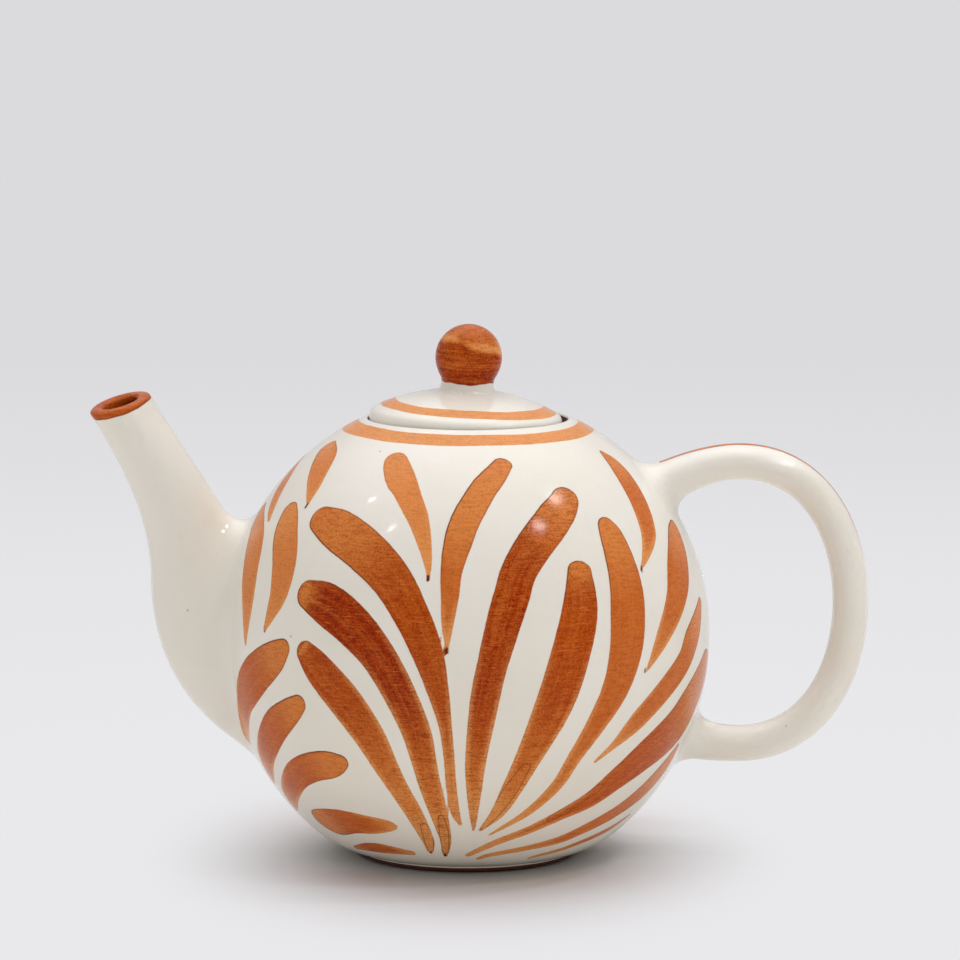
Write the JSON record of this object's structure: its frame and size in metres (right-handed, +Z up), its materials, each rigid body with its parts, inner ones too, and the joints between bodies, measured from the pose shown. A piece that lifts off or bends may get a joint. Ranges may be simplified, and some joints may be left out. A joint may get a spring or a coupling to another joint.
{
  "type": "teapot",
  "caption": "Round glazed terracotta teapot with a curved spout, a looped side handle, a lift-off domed lid and a ball knob, painted with brush strokes.",
  "frame": {"origin": "on the body's axis, at the plane of the foot ring that stands on the table", "axes": "+Z up, +X towards the handle, -X towards the spout, -Y towards the viewer of the picture"},
  "size_m": [0.2431, 0.152, 0.1662],
  "materials": {
    "glaze": "gloss",
    "painted_knob": "gloss"
  },
  "bodies": {
    "pot": {"pot_body": "glaze", "spout": "glaze", "handle": "glaze"},
    "lid": {"lid": "glaze", "knob": "painted_knob"}
  },
  "joints": [
    {"name": "lid_lift", "type": "slide", "parent": "pot", "child": "lid", "axis": [0.0436, 0, 0.999], "range_m": [0, 0.08]}
  ]
}
